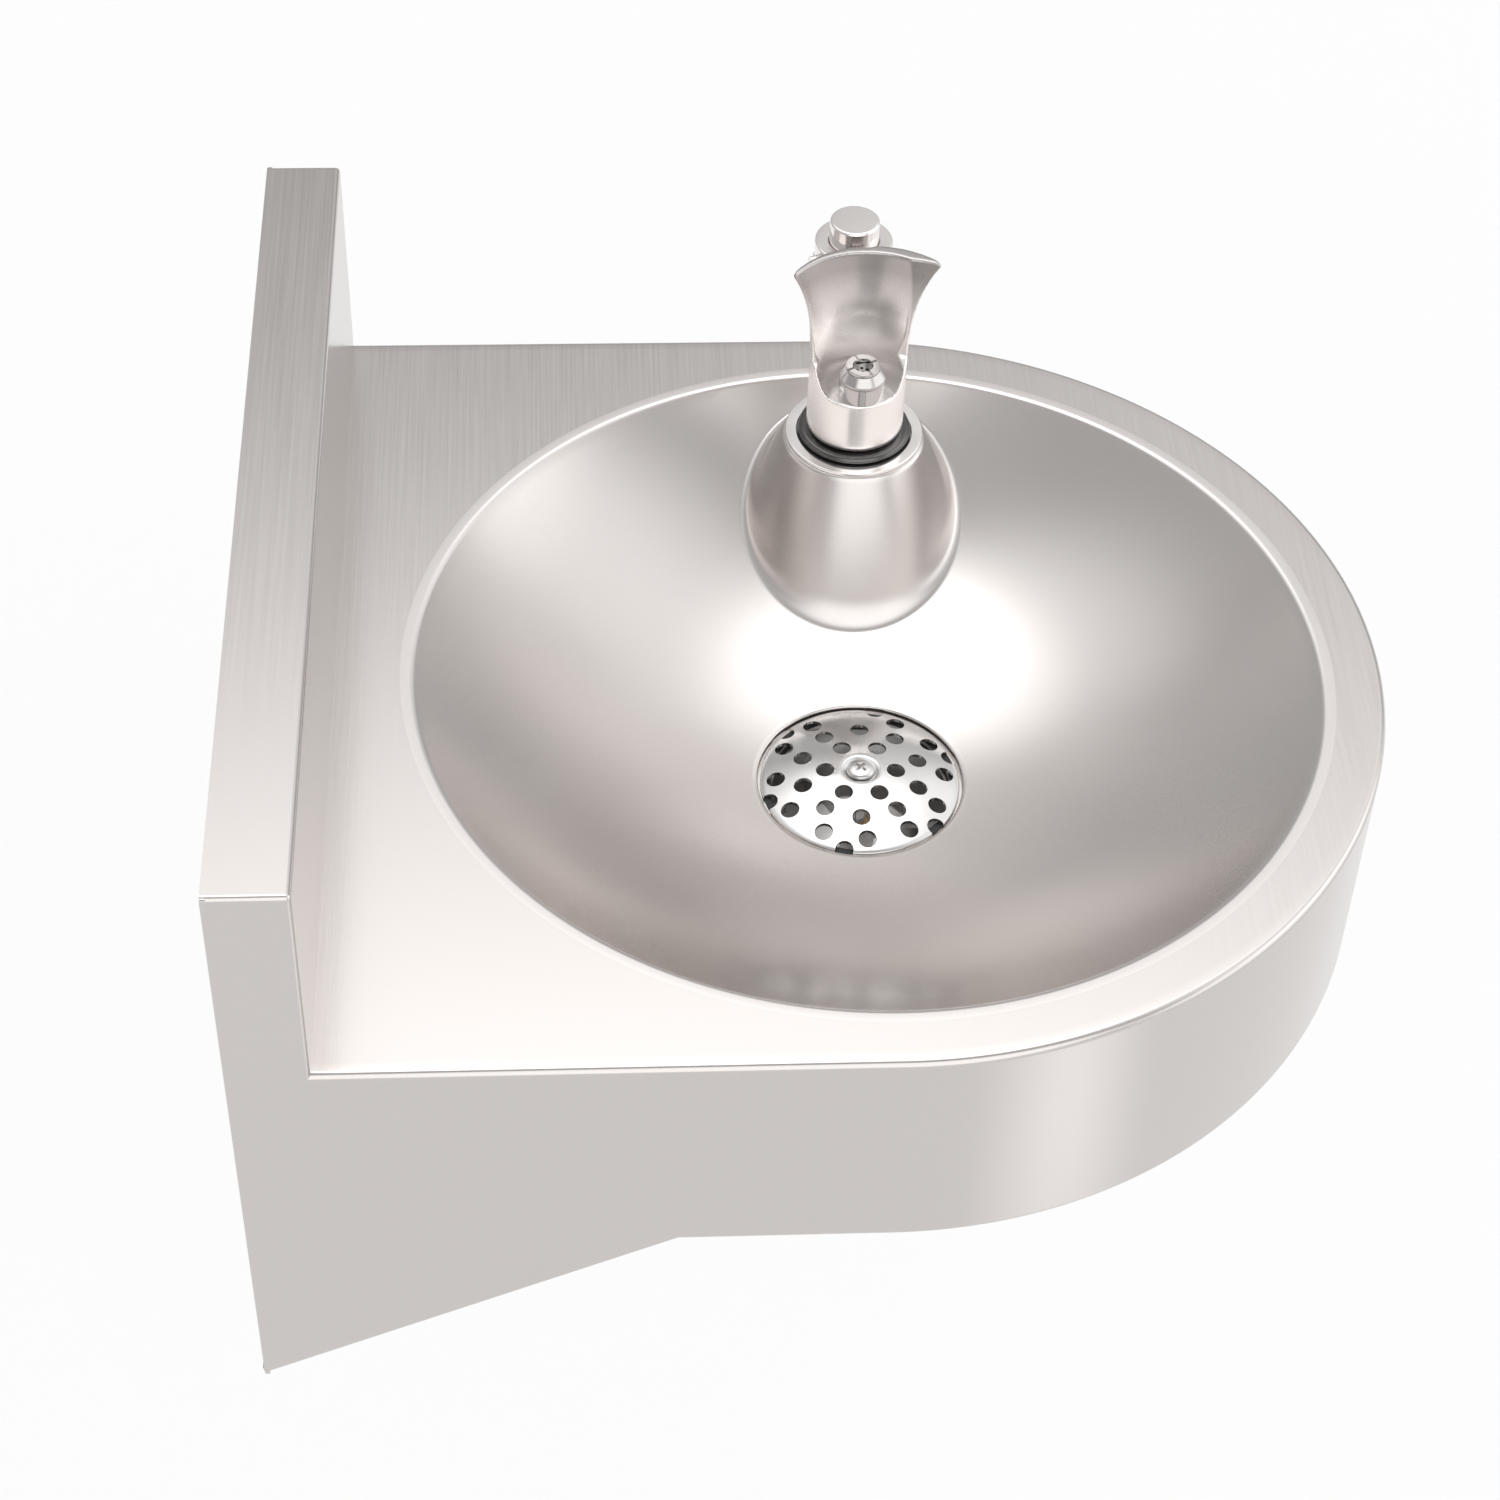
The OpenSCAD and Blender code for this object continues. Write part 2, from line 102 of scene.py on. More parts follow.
# ---------------------------------------------------------------- materials
class Finish:
    """A material built up from a few nodes that read Object coordinates."""

    def __init__(self, name, colour, metallic, roughness):
        self.material = bpy.data.materials.new(name)
        self.material.use_nodes = True
        self.tree = self.material.node_tree
        self.shader = self.tree.nodes["Principled BSDF"]
        self.shader.inputs["Base Color"].default_value = (*colour, 1)
        self.shader.inputs["Metallic"].default_value = metallic
        self.shader.inputs["Roughness"].default_value = roughness
        self.colour, self.roughness = colour, roughness
        self.height = None

    def node(self, kind, **settings):
        node = self.tree.nodes.new(kind)
        for key, value in settings.items():
            setattr(node, key, value)
        return node

    def link(self, start, end):
        self.tree.links.new(start, end)

    def grain(self, scale, stretch=(1, 1, 1), detail=3, turn=0):
        """Noise on Object coordinates, stretched into lines by the Mapping's scale."""
        place = self.node("ShaderNodeTexCoord")
        mapping = self.node("ShaderNodeMapping")
        mapping.inputs["Scale"].default_value = stretch
        mapping.inputs["Rotation"].default_value = (0, 0, turn)
        noise = self.node("ShaderNodeTexNoise")
        noise.inputs["Scale"].default_value = scale
        noise.inputs["Detail"].default_value = detail
        noise.inputs["Roughness"].default_value = 0.6
        self.link(place.outputs["Object"], mapping.inputs["Vector"])
        self.link(mapping.outputs["Vector"], noise.inputs["Vector"])
        return noise.outputs["Fac"]

    def spread(self, source, low, high, start=0.3, end=0.7):
        """Maps the source from start and end to low and high."""
        ranged = self.node("ShaderNodeMapRange")
        ranged.inputs["From Min"].default_value = start
        ranged.inputs["From Max"].default_value = end
        ranged.inputs["To Min"].default_value = low
        ranged.inputs["To Max"].default_value = high
        self.link(source, ranged.inputs["Value"])
        return ranged.outputs["Result"]

    def vary_roughness(self, source, amount):
        low, high = self.roughness - amount, self.roughness + amount
        self.link(self.spread(source, low, high), self.shader.inputs["Roughness"])

    def vary_colour(self, source, amount):
        mix = self.node("ShaderNodeMix", data_type="RGBA")
        mix.inputs["A"].default_value = (*[c * (1 - amount) for c in self.colour], 1)
        mix.inputs["B"].default_value = (*[min(1, c * (1 + amount)) for c in self.colour], 1)
        self.link(self.spread(source, 0, 1), mix.inputs["Factor"])
        self.link(mix.outputs["Result"], self.shader.inputs["Base Color"])

    def bump(self, source, strength, distance):
        bump = self.node("ShaderNodeBump")
        bump.inputs["Strength"].default_value = strength
        bump.inputs["Distance"].default_value = distance
        self.link(source, bump.inputs["Height"])
        if self.height is not None:
            self.link(self.height, bump.inputs["Normal"])
        self.height = bump.outputs["Normal"]
        self.link(self.height, self.shader.inputs["Normal"])


def brushed(name, colour, roughness, stretch, amount=1):
    """Sheet steel with straight fine brushing."""
    finish = Finish(name, colour, 1.0, roughness)
    lines = finish.grain(60, stretch, detail=5)
    finish.vary_roughness(lines, 0.035 * amount)
    finish.vary_colour(lines, 0.022 * amount)
    finish.bump(lines, 0.03 * amount, 0.0002)
    return finish.material


def satin(name, colour, roughness):
    """Spun steel polished to an even satin, with broad and very faint clouds."""
    finish = Finish(name, colour, 1.0, roughness)
    finish.vary_roughness(finish.grain(14, detail=1), 0.03)
    finish.vary_colour(finish.grain(900, detail=2), 0.012)
    return finish.material


def cast(name, colour, roughness, ripple=0.02):
    """Polished or plated metal with faint waviness and polishing haze."""
    finish = Finish(name, colour, 1.0, roughness)
    finish.vary_roughness(finish.grain(160, detail=4), roughness * 0.35)
    finish.vary_colour(finish.grain(45, detail=2), 0.02)
    finish.bump(finish.grain(220, detail=2), ripple, 0.0003)
    return finish.material


def casting_chrome():
    """Satin chrome with painted light towards its foot and painted shade towards its top."""
    plain, foot, top = (0.9, 0.865, 0.85), (0.95, 0.917, 0.90), (0.46, 0.438, 0.43)
    shade_from, shade_to = 0.049, 0.069
    # the plain colour only stands in where a reader doesn't follow the nodes
    finish = Finish("satin_chrome_casting", plain, 1.0, 0.27)
    place = finish.node("ShaderNodeTexCoord")
    split = finish.node("ShaderNodeSeparateXYZ")
    finish.link(place.outputs["Object"], split.inputs["Vector"])
    # painted light and shade: the colour runs from the bright foot colour to the dark top
    # colour between the two heights
    mix = finish.node("ShaderNodeMix", data_type="RGBA")
    mix.inputs["A"].default_value = (*foot, 1)
    mix.inputs["B"].default_value = (*top, 1)
    share = finish.spread(split.outputs["Z"], 0, 1, shade_from, shade_to)
    finish.link(share, mix.inputs["Factor"])
    finish.link(mix.outputs["Result"], finish.shader.inputs["Base Color"])
    finish.vary_roughness(finish.grain(60, detail=1), 0.02)
    return finish.material


def moulded(name, colour, roughness):
    """Rubber with a fine, dull grain."""
    finish = Finish(name, colour, 0.0, roughness)
    finish.vary_roughness(finish.grain(400), 0.08)
    finish.vary_colour(finish.grain(90), 0.25)
    finish.bump(finish.grain(1500), 0.15, 0.0002)
    return finish.material


STEEL = (0.60, 0.567, 0.55)
steel_along = brushed("brushed_deck_steel", STEEL, 0.2, (0.25, 22, 22))
# the apron and side panels are the deck's sheet in a darker colour: painted shade on the faces
# that don't face up
apron_steel_shaded = brushed("brushed_apron_steel", (0.495, 0.467, 0.452), 0.27, (0.25, 0.25, 30), 0.5)
steel_bowl = satin("satin_bowl_steel", (0.645, 0.61, 0.592), 0.24)
steel_plain = cast("mill_steel", (0.53, 0.52, 0.51), 0.34, 0.05)
steel_polished = cast("polished_strainer_steel", (0.66, 0.65, 0.64), 0.16, 0.02)
chrome = cast("polished_chrome", (0.86, 0.825, 0.81), 0.14, 0.015)
# near-black chrome for the base ring: painted shade in the gap under the casting's foot
chrome_painted_shade = cast("shaded_chrome", (0.13, 0.126, 0.125), 0.09, 0.015)
chrome_nozzle = cast("nozzle_chrome", (0.56, 0.54, 0.53), 0.13, 0.015)
# near-black steel for the screw's cross recess: painted shade
recess_painted_shade = cast("recess_painted_shade", (0.05, 0.05, 0.05), 0.4, 0.05)
chrome_body = casting_chrome()
spring_steel = cast("drawn_spring_wire", (0.45, 0.44, 0.43), 0.28)
brass = cast("machined_brass", (0.72, 0.53, 0.26), 0.27, 0.05)
rubber = moulded("black_rubber", (0.018, 0.018, 0.019), 0.55)


# ---------------------------------------------------------------- workshop
def section(bm, points, closed=True):
    """Draws a half section, in mm, in the plane y = 0."""
    verts = [bm.verts.new((r, 0, z)) for r, z in points]
    pairs = list(zip(verts, verts[1:]))
    if closed:
        pairs.append((verts[-1], verts[0]))
    return verts + [bm.edges.new(pair) for pair in pairs]


def turned(points, steps=96, closed=True):
    """A shape turned about Z from half of its section, in mm."""
    bm = bmesh.new()
    geom = section(bm, points, closed)
    bmesh.ops.spin(bm, geom=geom, cent=(0, 0, 0), axis=(0, 0, 1), angle=TURN,
                   steps=steps, use_merge=True)
    bmesh.ops.remove_doubles(bm, verts=bm.verts, dist=0.0005)
    bmesh.ops.recalc_face_normals(bm, faces=bm.faces)
    return bm


def tube(r_out, r_in, low, high, steps=96):
    if r_in == 0:
        return turned([(0, low), (r_out, low), (r_out, high), (0, high)], steps, False)
    return turned([(r_in, low), (r_out, low), (r_out, high), (r_in, high)], steps)


def soften(bm, radius, segments=3, angle=35):
    """Rounds every edge sharper than the angle."""
    sharp = [e for e in bm.edges
             if len(e.link_faces) == 2 and e.calc_face_angle(0) > math.radians(angle)]
    bmesh.ops.bevel(bm, geom=sharp, offset=radius, segments=segments, profile=0.5,
                    affect="EDGES", clamp_overlap=True, material=-1)
    return bm


def block(low, high):
    bm = bmesh.new()
    bmesh.ops.create_cube(bm, size=1)
    size = Vector(high) - Vector(low)
    bmesh.ops.scale(bm, vec=size, verts=bm.verts)
    bmesh.ops.translate(bm, vec=(Vector(high) + Vector(low)) / 2, verts=bm.verts)
    return bm


def rod(radius, low, high, steps=48, place=HERE):
    bm = tube(radius, 0, low, high, steps)
    bm.transform(place)
    return bm


def shape(bm):
    """A working object in mm."""
    mesh = bpy.data.meshes.new("work")
    bm.to_mesh(mesh)
    bm.free()
    obj = bpy.data.objects.new("work", mesh)
    bpy.context.scene.collection.objects.link(obj)
    return obj


def settle(obj):
    """Applies the working object's modifiers."""
    graph = bpy.context.evaluated_depsgraph_get()
    mesh = bpy.data.meshes.new_from_object(obj.evaluated_get(graph))
    obj.modifiers.clear()
    old, obj.data = obj.data, mesh
    bpy.data.meshes.remove(old)
    return obj


def joined(obj, tool, how):
    """Boolean of two working shapes; the second is used up."""
    other = shape(tool) if isinstance(tool, bmesh.types.BMesh) else tool
    mod = obj.modifiers.new("cut", "BOOLEAN")
    mod.operation, mod.object, mod.solver = how, other, "EXACT"
    settle(obj)
    mesh = other.data
    bpy.data.objects.remove(other)
    bpy.data.meshes.remove(mesh)
    return obj


def reworked(obj, work):
    """Runs a bmesh edit on a working object."""
    bm = bmesh.new()
    bm.from_mesh(obj.data)
    work(bm)
    bm.to_mesh(obj.data)
    bm.free()
    return obj


def sharp_rims(bm):
    """Keeps a sheet's free edges sharp."""
    for edge in bm.edges:
        if edge.is_boundary:
            edge.smooth = False


def piece(name, source, finishes, nodes, place=HERE, body="fountain", angle=35,
          wall=0, even=True):
    """Names a finished piece, puts it in metres and ties it to the frame."""
    obj = shape(source) if isinstance(source, bmesh.types.BMesh) else source
    obj.name = name
    obj.data.name = name
    obj.data.transform(Matrix.Scale(MM, 4) @ place)
    obj.data.materials.clear()
    for finish in finishes:
        obj.data.materials.append(finish)
    obj.data.shade_smooth()
    obj.data.set_sharp_from_angle(angle=math.radians(angle))
    if wall:
        reworked(obj, sharp_rims)
        mod = obj.modifiers.new("sheet", "SOLIDIFY")
        mod.thickness, mod.offset = wall * MM, -1
        mod.use_even_offset = True
    if even:
        mod = obj.modifiers.new("even_normals", "WEIGHTED_NORMAL")
        mod.keep_sharp = True
    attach(obj, body)
    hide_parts(*nodes)
    return obj


# ---------------------------------------------------------------- deck, apron and upstand
half_w = 165
front_y = -193.7
fold = 2.2
upstand_t, upstand_h = 24.3, 75.5
side_h, apron_h, slope_y = 147.3, 81.4, 128.8
sheet_t = 1.5
rim_r = 149
rear_y = -0.1
flange_in, hole_x, hole_z, hole_r = 140, 150, -50, 3.5
hook_low = 59.5
hem, hem_in = 2, 12
upstand_bend = 1.6
bowl_centre = Vector((0, centre("strainer_dome")[1], 0))


def lower_edge(y):
    """Height of the panels' lower edge at a distance from the wall."""
    return -apron_h - (side_h - apron_h) * max(0, slope_y + y) / slope_y


def on_outline(co, inset, z):
    """The same place along the outline, drawn in by an inset."""
    if co.y > front_y:
        return Vector((math.copysign(half_w - inset, co.x), co.y, z))
    away = Vector((co.x, co.y - front_y, 0)).normalized() * (half_w - inset)
    return Vector((away.x, front_y + away.y, z))


def pulled(bm, edges, inset, height):
    """Extrudes a run of edges to a new inset and height."""
    grown = bmesh.ops.extrude_edge_only(bm, edges=edges)["geom"]
    verts = {g for g in grown if isinstance(g, bmesh.types.BMVert)}
    for vert in verts:
        vert.co = on_outline(vert.co, inset, height(vert.co.y))
    return [e for e in {e for v in verts for e in v.link_edges}
            if e.verts[0] in verts and e.verts[1] in verts]


def holed_plate(bm, edges, normal):
    """Fills a flat plate between its outline and its hole."""
    bmesh.ops.triangle_fill(bm, edges=edges, use_beauty=True, normal=normal)


def deck_sheet():
    """The folded shell as one open skin, which gets its thickness from a modifier."""
    bm = bmesh.new()
    start = bm.verts.new((-half_w, front_y, -fold))
    bmesh.ops.spin(bm, geom=[start], cent=(0, front_y, -fold), axis=(0, 0, 1),
                   angle=math.pi, steps=144)
    bm.verts.ensure_lookup_table()
    ends = [start, max(bm.verts, key=lambda v: v.co.x)]
    for side, end in zip((-1, 1), ends):
        for y in (-slope_y, -upstand_t + 1.5, 0):
            new = bm.verts.new((side * half_w, y, -fold))
            bm.edges.new((end, new))
            end = new
    belt = list(bm.edges)
    front = [e for e in belt if min(v.co.y for v in e.verts) < -upstand_t
             and max(v.co.y for v in e.verts) < -upstand_t + 2]
    # down the apron, round the hem and inwards
    run = pulled(bm, belt, 0, lambda y: lower_edge(y) + hem)
    for step in range(1, 5):
        a = step / 4 * math.pi / 2
        run = pulled(bm, run, hem * (1 - math.cos(a)),
                     lambda y: lower_edge(y) + hem * (1 - math.sin(a)))
    pulled(bm, run, hem_in, lower_edge)
    # up over the fold and on to the deck
    run = front
    for step in range(1, 6):
        a = step / 5 * math.pi / 2
        run = pulled(bm, run, fold * (1 - math.cos(a)),
                     lambda y: -fold * (1 - math.sin(a)))
    run = pulled(bm, run, fold + 3, lambda y: 0)
    back = sorted({v for e in run for v in e.verts}, key=lambda v: -v.co.y)[:2]
    run.append(bm.edges.new(back))
    hole = bmesh.ops.create_circle(bm, segments=192, radius=rim_r,
                                   matrix=Matrix.Translation(bowl_centre))["verts"]
    ring = {e for v in hole for e in v.link_edges}
    holed_plate(bm, run + list(ring), (0, 0, 1))
    # rear return flanges with their fixing holes
    for side in (-1, 1):
        corners = [bm.verts.new((side * x, rear_y, z)) for x, z in
                   ((half_w - 0.2, 0.3 - side_h), (half_w - 0.2, -2),
                    (flange_in, -2), (flange_in, 0.3 - side_h))]
        edges = [bm.edges.new((a, b)) for a, b in zip(corners, corners[1:] + corners[:1])]
        spot = (Matrix.Translation((side * hole_x, rear_y, hole_z))
                @ Matrix.Rotation(TURN / 4, 4, "X"))
        drilled = bmesh.ops.create_circle(bm, segments=40, radius=hole_r,
                                          matrix=spot)["verts"]
        holed_plate(bm, edges + list({e for v in drilled for e in v.link_edges}), (0, 1, 0))
    # hook flange behind the top of the upstand
    bm.faces.new([bm.verts.new((side * (half_w - 0.2), rear_y, z)) for side, z in
                  ((1, upstand_h - 0.3), (1, hook_low), (-1, hook_low),
                   (-1, upstand_h - 0.3))])
    # upstand: an open box whose corners are folded round
    box = bmesh.ops.create_cube(bm, size=1)["verts"]
    bmesh.ops.scale(bm, vec=(2 * half_w, upstand_t, upstand_h + fold), verts=box)
    bmesh.ops.translate(bm, vec=(0, -upstand_t / 2, (upstand_h - fold) / 2), verts=box)
    faces = {f for v in box for f in v.link_faces}
    bmesh.ops.delete(bm, geom=[f for f in faces if f.normal.z < -0.5 or f.normal.y > 0.5],
                     context="FACES")
    edges = [e for e in {e for v in box for e in v.link_edges} if len(e.link_faces) == 2]
    bmesh.ops.bevel(bm, geom=edges, offset=upstand_bend, segments=5, profile=0.5,
                    affect="EDGES", material=-1)
    bmesh.ops.remove_doubles(bm, verts=bm.verts, dist=0.001)
    outward(bm)
    # faces that don't face up take the darker steel: painted shade
    for face in bm.faces:
        face.material_index = 0 if face.normal.z > 0.5 else 1
    return bm


def outward(bm):
    """Turns the open sheet's faces away from the hollow inside."""
    for face in bm.faces:
        middle = face.calc_center_median()
        inside = Vector((0, max(middle.y, front_y), min(middle.z, -20)))
        if abs(face.normal.z) > 0.8 and middle.z < -60:
            wrong = face.normal.z > 0
        elif abs(face.normal.y) > 0.9 and middle.y > -0.2:
            wrong = face.normal.y < 0
        elif abs(face.normal.y) > 0.9 and middle.y > -upstand_t - 0.01:
            wrong = face.normal.y > 0
        else:
            wrong = face.normal.dot(middle - inside) < 0
        if wrong:
            face.normal_flip()


piece("folded_deck", deck_sheet(), [steel_along, apron_steel_shaded],
      ["deck_plate", "upstand_cover", "apron_band"], wall=sheet_t, angle=60)


# ---------------------------------------------------------------- bowl and pedestal
sphere_r, sphere_z = 214.31, 157.81
top_z, top_r, flare = 1.2, 24, 0.458
shoulder = 1.5
shoulder_in, shoulder_out = 23.048, 24.405
rim_round = 3.0
rim_in, rim_out = 144.14, 146.17
seat_r, seat_floor, drain_r = 34, -56.19, 30
foot_blend = 7
near_stand, ring_pitch = 51, 2.4
shank_clear = 12
stand = Vector((stem_x, stem_y, 0))


def bowl_height(r):
    """The spun bowl alone: part of a sphere with a rounded rim."""
    if r >= rim_out:
        return 0
    if r > rim_in:
        return -rim_round + math.sqrt(rim_round ** 2 - (rim_out - r) ** 2)
    return sphere_z - math.sqrt(sphere_r ** 2 - r * r)


def cone_height(r):
    """The pedestal's side with a rounded shoulder under its flat top."""
    if r < shoulder_in:
        return top_z
    if r < shoulder_out:
        return top_z - shoulder + math.sqrt(shoulder ** 2 - (r - shoulder_in) ** 2)
    return top_z - (r - top_r) / flare


def dish_height(x, y):
    """The bowl with the pedestal's cone flowing out of it."""
    low = bowl_height(math.hypot(x, y - bowl_centre.y))
    cone = cone_height(math.hypot(x - stand.x, y - stand.y))
    blend = max(0.5, min(foot_blend, 0.5 * (top_z - low)))
    share = max(0, 1 - abs(low - cone) / blend)
    return max(low, cone) + share * share * blend / 4


def dish():
    """Bowl and pedestal as one skin, with finer faces round the pedestal."""
    bm = bmesh.new()
    rings = [(drain_r, seat_floor), (seat_r, seat_floor), (seat_r, bowl_height(seat_r) - 0.5),
             (seat_r + 0.15, bowl_height(seat_r) - 0.15),
             (seat_r + 0.5, bowl_height(seat_r + 0.5))]
    r = seat_r + 2
    while r < rim_in - 1:
        rings.append((r, bowl_height(r)))
        r += ring_pitch
    for k in range(7):
        r = rim_in + (rim_out - rim_in) * k / 6
        rings.append((r, bowl_height(r)))
    rings.append((rim_r, 0))
    geom = section(bm, rings, closed=False)
    bmesh.ops.spin(bm, geom=geom, cent=(0, 0, 0), axis=(0, 0, 1), angle=TURN, steps=192,
                   use_merge=True)
    bmesh.ops.remove_doubles(bm, verts=bm.verts, dist=0.0005)
    bmesh.ops.translate(bm, vec=bowl_centre, verts=bm.verts)
    near = [f for f in bm.faces
            if (f.calc_center_median() - stand).xy.length < near_stand
            and (f.calc_center_median() - bowl_centre).xy.length < rim_in]
    edges = list({e for f in near for e in f.edges})
    bmesh.ops.subdivide_edges(bm, edges=edges, cuts=5, use_grid_fill=True)
    for vert in bm.verts:
        r = (vert.co - bowl_centre).xy.length
        if r > seat_r + 0.3:
            vert.co.z = dish_height(vert.co.x, vert.co.y)
    inner = [f for f in bm.faces
             if (f.calc_center_median() - stand).xy.length < shank_clear]
    bmesh.ops.delete(bm, geom=inner, context="FACES")
    bmesh.ops.recalc_face_normals(bm, faces=bm.faces)
    if sum(f.normal.z for f in bm.faces) < 0:
        bmesh.ops.reverse_faces(bm, faces=bm.faces)
    for face in bm.faces:
        flat = (face.calc_center_median() - bowl_centre).xy.length > rim_in
        face.material_index = 1 if flat else 0
    return bm


piece("spun_bowl", dish(), [steel_bowl, steel_along], ["bowl", "pedestal"],
      wall=sheet_t, angle=50, even=False)


# ---------------------------------------------------------------- strainer and waste
edge_z, rise, dome_t = -54.39, 5.5, 1.2
dome_rim = 33
dome_r = (dome_rim ** 2 + rise ** 2) / (2 * rise)
dimple_r, dimple_slope, dimple_depth = 6.6, 2.2, 0.9


def dome_height(r):
    """Top of the strainer's dome, with the dimple round its screw."""
    z = edge_z + rise - dome_r + math.sqrt(dome_r ** 2 - r * r)
    share = min(1, max(0, (dimple_r - r) / dimple_slope))
    return z - dimple_depth * share * share * (3 - 2 * share)


def strainer():
    """The domed plate with its rings of holes."""
    radii = [0, 2, 3.4, 4.2, 4.8, 5.4, 6.0, 6.6, 8, 11, 14, 17, 20, 23, 26, 29, 31.5, 32.7]
    top = [(r, dome_height(r)) for r in radii] + [(dome_rim, dome_height(dome_rim) - 0.25)]
    under = [(dome_rim, edge_z - dome_t)] + [(r, dome_height(r) - dome_t)
                                             for r in reversed(radii[:-1])]
    plate = shape(turned(top + under, 144, closed=False))
    drills = bmesh.new()
    # radius of the ring, first angle, angle between holes, holes drilled
    rows = ((11.7, 28, 60, range(6)), (20, -3, 36, range(10)), (28, 1, 30, range(1, 12)),
            (32.2, 47, 60, range(6)))
    for radius, start, pitch, count in rows:
        for k in count:
            spot = (Matrix.Rotation(math.radians(start + pitch * k), 4, "Z")
                    @ Matrix.Translation((radius, 0, -53)))
            bmesh.ops.create_cone(drills, cap_ends=True, segments=40, radius1=3.05,
                                  radius2=3.05, depth=16, matrix=spot)
    joined(plate, drills, "DIFFERENCE")
    return reworked(plate, lambda bm: soften(bm, 0.14, 2, 50))


def cross_head(radius, low, high, slot_w, slot_d, shaft_r, shaft_low):
    """A pan-head screw with a cross recess."""
    drop = high - low
    points = [(0, shaft_low), (shaft_r, shaft_low), (shaft_r, low), (radius, low),
              (radius, low + 0.3 * drop)]
    points += [(radius * math.cos(a), low + 0.3 * drop + 0.7 * drop * math.sin(a))
               for a in (0.35, 0.7, 1.0, 1.3)]
    points.append((0, high))
    screw = shape(turned(points, 64, closed=False))
    for a in (45, 135):
        arm = block((-radius * 0.48, -slot_w / 2, high - slot_d),
                    (radius * 0.48, slot_w / 2, high + 1))
        arm.transform(Matrix.Rotation(math.radians(a), 4, "Z"))
        joined(screw, arm, "DIFFERENCE")
    # the recess has the second finish, near black: painted shade
    for face in screw.data.polygons:
        middle = face.center
        if middle.xy.length < radius * 0.5 and low - 1 < middle.z < high - 0.2:
            face.material_index = 1
    return screw


head_z = edge_z + rise - 0.75
piece("strainer_plate", strainer(), [steel_polished], ["strainer_dome"],
      place=BOWL_AT, angle=40)
piece("strainer_cross_screw", cross_head(4.6, head_z, head_z + 1.7, 1.1, 1.3, 2.9, -80),
      [steel_polished, recess_painted_shade], ["strainer_screw"], place=BOWL_AT,
      angle=40)


def threads(radius, depth, pitch, low, high):
    """Half section of a thread, as a run of points from low to high."""
    points = []
    z = low
    while z + pitch <= high:
        points += [(radius - depth, z), (radius, z + 0.35 * pitch), (radius, z + 0.6 * pitch)]
        z += pitch
    return points + [(radius - depth, z), (radius - depth, high)]


def waste():
    """The waste cup and its threaded tail."""
    top, floor, tail = -59.69, -81.69, -115.89
    outer = [(29, top), (36, top), (36, top - 3), (31.2, top - 3), (31.2, floor + 4),
             (30, floor), (28, floor - 2.2), (20.95, floor - 2.2)]
    outer += reversed(threads(20.95, 0.9, 2.309, tail, floor - 2.4))
    inner = [(18.75, tail), (18.75, floor), (29, floor)]
    return soften(turned(outer + inner, 120), 0.35, 2, 50)


def spider():
    """The three-armed bridge and its boss."""
    hub = shape(tube(6, 2.9, -83.69, -73.69, 48))
    for k in range(3):
        arm = block((4, -1.25, -81.6), (28.7, 1.25, -76.7))
        arm.transform(Matrix.Rotation(math.radians(30 + 120 * k), 4, "Z"))
        joined(hub, arm, "UNION")
    return hub


piece("waste_cup", waste(), [steel_plain], ["waste_body"], place=BOWL_AT)
piece("waste_spider", spider(), [steel_plain], ["waste_bridge"], place=BOWL_AT)
piece("waste_ring_gasket", soften(tube(36, 30, -59.69, -57.69, 120), 0.3), [rubber],
      ["waste_gasket"], place=BOWL_AT)


# ---------------------------------------------------------------- bubbler base and shank
piece("flat_escutcheon", soften(tube(23.5, 19.6, 1.2, 2.6, 144), 0.35), [chrome],
      ["escutcheon_ring"], place=BUBBLER_AT)
piece("rubber_base", soften(tube(19.4, 10.8, 1.2, 2.2, 96), 0.25), [rubber],
      ["base_gasket"], place=BUBBLER_AT)


def round_ring():
    points = [(10.58, 2.2), (17.7, 2.2)]
    points += [(17.7 + 1.5 * math.sin(a), 3.7 - 1.5 * math.cos(a))
               for a in [k * math.pi / 10 for k in range(1, 10)]]
    points += [(17.7, 5.2), (10.58, 5.2)]
    return turned(points, 144)


piece("round_base_ring", round_ring(), [chrome_painted_shade], ["base_ring"], place=BUBBLER_AT)


def shank():
    outer = [(6, -62), (9.4, -62)] + threads(10.48, 0.8, 1.814, -61.5, -13)
    outer += [(9.68, -12.8), (9.68, -11.5), (10.48, -11), (10.48, 12), (6, 12)]
    return turned(outer, 96)


piece("inlet_shank", shank(), [chrome], ["threaded_shank"], place=BUBBLER_AT)
piece("shank_gasket", soften(tube(17, 10.58, -3.3, -0.3, 96), 0.5), [rubber],
      ["back_gasket"], place=BUBBLER_AT)
piece("shank_washer", soften(tube(16.5, 10.58, -4.8, -3.3, 96), 0.3), [steel_plain],
      ["back_washer"], place=BUBBLER_AT)


def hexagon_nut():
    bm = bmesh.new()
    bmesh.ops.create_cone(bm, cap_ends=True, segments=6, radius1=15.588, radius2=15.588,
                          depth=6.5, matrix=Matrix.Translation((0, 0, -8.05)))
    nut = shape(bm)
    chamfer = turned([(0, -11.31), (13.3, -11.31), (15.7, -10.2), (15.7, -5.9),
                      (13.3, -4.79), (0, -4.79)], 96, closed=False)
    joined(nut, chamfer, "INTERSECT")
    joined(nut, rod(10.48, -20, 5, 96), "DIFFERENCE")
    return reworked(nut, lambda made: soften(made, 0.25, 2, 25))


piece("shank_nut", hexagon_nut(), [brass], ["back_nut"], place=BUBBLER_AT)


# ---------------------------------------------------------------- bubbler casting
guard_top, guard_rise = 76, 40
body_r, body_top = 16.5, 62
foot_round = 2.6
pad_r, bore_r = 13.5, 13.1
mouth_r, mouth_x = 49.4, -50.4
blade_r, blade_x = 31.3, -25.3


